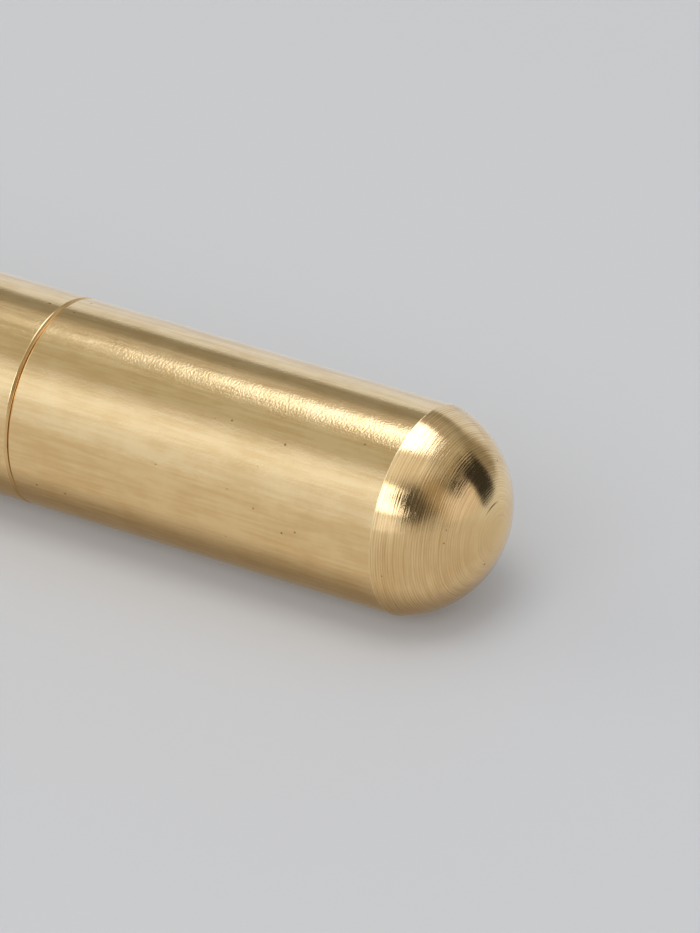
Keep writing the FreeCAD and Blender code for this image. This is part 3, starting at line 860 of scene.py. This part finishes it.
def card(name, place, size, shade, soft=0.07, corner=0.07, turn=0, away=1.0, flat=0,
         lamp=False):
    """A glowing or dark card. Its place is the azimuth and elevation in degrees, as seen from the
    dome, and it faces the dome; a flat one lies level, over the dome (1) or under it (-1), and its
    place is X and Y at unit height.
    Its size is for a card one metre away. Its rim fades over twice soft and its corners are
    rounded. Only a lamp lights the floor: the others show in the metal alone."""
    if flat:
        centre = Vector((place[0], place[1], flat))
        side, upward = Vector((1, 0, 0)), Vector((0, 1, 0))
    else:
        a, e = (math.radians(angle) for angle in place)
        centre = Vector((math.sin(a) * math.cos(e), -math.cos(a) * math.cos(e), math.sin(e)))
        side = Vector((math.cos(a), math.sin(a), 0))
        upward = centre.cross(side)
    half_width, half_height, rim, bend = (
        away * length for length in (size[0] / 2, size[1] / 2, soft, corner))
    mesh = bpy.data.meshes.new(name)
    reach_x, reach_y = half_width + rim, half_height + rim
    mesh.from_pydata([(-reach_x, -reach_y, 0), (reach_x, -reach_y, 0),
                      (reach_x, reach_y, 0), (-reach_x, reach_y, 0)], [], [(0, 1, 2, 3)])
    thing = bpy.data.objects.new(name, mesh)
    axes = Matrix((side, upward, side.cross(upward))).transposed().to_4x4()
    thing.matrix_world = (Matrix.Translation(studio_middle + centre * away) @ axes
                          @ Matrix.Rotation(math.radians(turn), 4, "Z"))
    bpy.context.scene.collection.objects.link(thing)
    thing.visible_camera = False
    if not lamp:
        thing.visible_diffuse = False
        thing.visible_shadow = False
    cloth, tree, spot = material(name)
    folded = add(tree, "VectorMath", {0: spot}, operation="ABSOLUTE")
    past = add(tree, "VectorMath", {0: folded.outputs[0],
                                    1: (half_width - bend, half_height - bend, 1)},
               operation="SUBTRACT")
    clear = add(tree, "VectorMath", {0: past.outputs[0], 1: (0, 0, 0)}, operation="MAXIMUM")
    distance = add(tree, "VectorMath", {0: clear.outputs[0]}, operation="LENGTH")
    cover = add(tree, "MapRange", {
        "Value": distance.outputs["Value"], "From Min": bend + rim, "From Max": bend - rim,
        "To Min": 0.0, "To Max": 1.0}, interpolation_type="SMOOTHSTEP")
    glow = add(tree, "Emission", {"Color": (*shade, 1), "Strength": 1.0})
    gap = add(tree, "BsdfTransparent")
    both = add(tree, "MixShader", {0: cover.outputs[0], 1: gap.outputs[0], 2: glow.outputs[0]})
    add(tree, "OutputMaterial", {"Surface": both.outputs[0]})
    mesh.materials.append(cloth)


def grey(light):
    return (light, light, light)


card("softbox_above", (-0.072, 0.318), (0.89, 0.75), (2.7, 2.95, 3.7), 0.02, 0.27, turn=18,
     flat=1)
card("softbox_front", (6, 34), (0.90, 0.50), (2.5, 2.65, 3.0), 0.05, 0.1, turn=-6, lamp=True)
card("softbox_left", (-75, 29), (0.7, 0.5), grey(1.5), 0.05, 0.1, lamp=True)
card("reflector_left", (-36, 31), (0.40, 0.60), (1.0, 1.10, 1.28), 0.26, 0.26, away=1.04,
     lamp=True)
card("reflector_low", (-6, 5), (1.24, 0.44), (0.72, 0.77, 0.87), 0.08, 0.1, away=1.08)
card("reflector_right", (15, 4), (0.48, 0.42), (1.0, 1.05, 1.16), 0.08, 0.1, away=1.03)
card("ceiling_pale", (30, 70), (1.0, 0.6), (0.86, 0.90, 0.95), 0.2, 0.25, away=1.5)
card("wall_left", (-88, 62), (0.85, 0.5), (0.49, 0.50, 0.47), 0.1, 0.2, away=1.5)
card("wall_right", (118, 27), (1.36, 0.95), (0.47, 0.46, 0.42), 0.12, 0.2)
card("wall_low", (155, 15), (0.26, 0.60), (0.28, 0.27, 0.24), 0.04, 0.1, away=0.11)
card("wall_back", (190, 37), (1.6, 0.38), (0.28, 0.28, 0.26), 0.08, 0.15, away=0.97)
card("wall_corner", (172, 42), (0.5, 0.26), (0.44, 0.44, 0.43), 0.1, 0.12, away=0.95)
card("backdrop_pale", (199, 11.5), (1.03, 0.54), (0.73, 0.81, 0.97), 0.03, 0.2, away=0.93)
card("board_brown", (74, 31), (0.42, 0.66), (0.37, 0.32, 0.24), 0.08, 0.12, away=0.9)
card("board_pale", (98, 11), (0.72, 0.50), (0.75, 0.73, 0.76), 0.06, 0.15, away=0.86)
card("flag_front", (44.5, 27), (0.52, 0.66), (0.10, 0.095, 0.085), 0.045, 0.06, turn=22,
     away=0.83)
card("flag_low", (53, 18), (0.26, 0.24), (0.11, 0.105, 0.095), 0.04, 0.06, away=0.82)
card("flag_top", (112, 29.5), (0.72, 0.24), grey(0.05), 0.04, 0.07, away=0.8)
card("flag_side", (131.5, 14), (0.48, 0.62), grey(0.04), 0.04, 0.1, away=0.085)
just_over_floor = -cad_low.z * 0.995
# Painted shade: a dark card under the pencil that only the metal sees, darkening the floor it
# reflects.
card("shade_under", (-9.3, 0), (20, 2.3), (0.25, 0.22, 0.18), 0.43, 1.1, away=just_over_floor,
     flat=-1)
# Painted sheen: a pale card behind the pencil that only the metal sees, brightening the floor it
# reflects.
card("painted_sheen_behind", (-6, 28), (90, 50), (0.66, 0.71, 0.78), 2.0, 2.5, away=just_over_floor,
     flat=-1)

# The photograph's view: from the dome's side, 30 degrees above the floor, through a long lens.
view_azimuth, view_elevation = math.radians(31.05), math.radians(29.875)
view_distance = 475.3
view_shift, view_rise = -4.142, 2.398
focal_length = 334.46
back = Vector((math.sin(view_azimuth) * math.cos(view_elevation),
               -math.cos(view_azimuth) * math.cos(view_elevation), math.sin(view_elevation)))
right = Vector((math.cos(view_azimuth), math.sin(view_azimuth), 0))
camera = bpy.data.objects.new("camera", bpy.data.cameras.new("camera"))
camera.data.lens = focal_length
camera.data.sensor_width = 36.0
camera.data.clip_start = 0.01
camera.location = (Vector((cap_edge, 0, 0)) + back * view_distance + right * view_shift
                   + back.cross(right) * view_rise) * MM
camera.rotation_euler = back.to_track_quat("Z", "Y").to_euler()
bpy.context.scene.collection.objects.link(camera)
bpy.context.scene.camera = camera
bpy.context.scene.view_settings.view_transform = "Standard"
